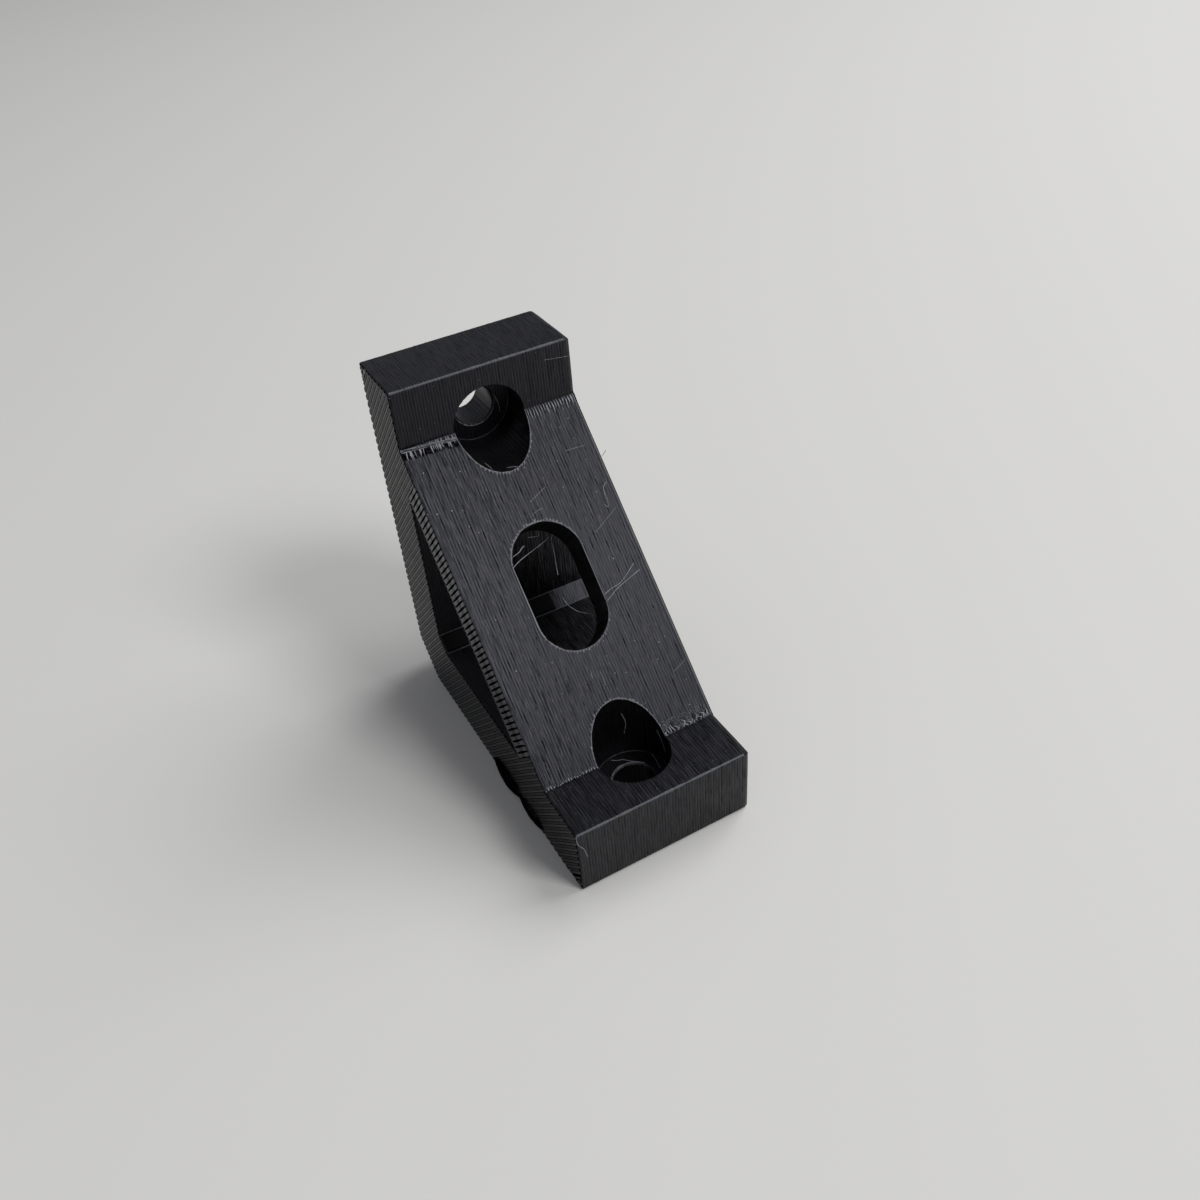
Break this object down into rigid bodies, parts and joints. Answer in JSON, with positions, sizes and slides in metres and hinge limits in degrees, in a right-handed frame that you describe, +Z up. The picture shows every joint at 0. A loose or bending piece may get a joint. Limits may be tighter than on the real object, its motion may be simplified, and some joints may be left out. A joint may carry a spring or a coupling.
{
  "type": "channel corner bracket",
  "caption": "Right-angle printed corner bracket with a sloping brace, a triangular window, bolt holes with head wells and a round-ended slot, for joining channel or slotted profile.",
  "frame": {"origin": "middle of the underside of the base leg's bounding rectangle", "axes": "+Z up along the upright leg, +X along the base leg towards its free end, Y across the width"},
  "size_m": [0.051, 0.025, 0.051],
  "materials": {
    "printed_plastic": "satin, layered print"
  },
  "bodies": {
    "root": {"bracket": "printed_plastic"}
  },
  "joints": []
}
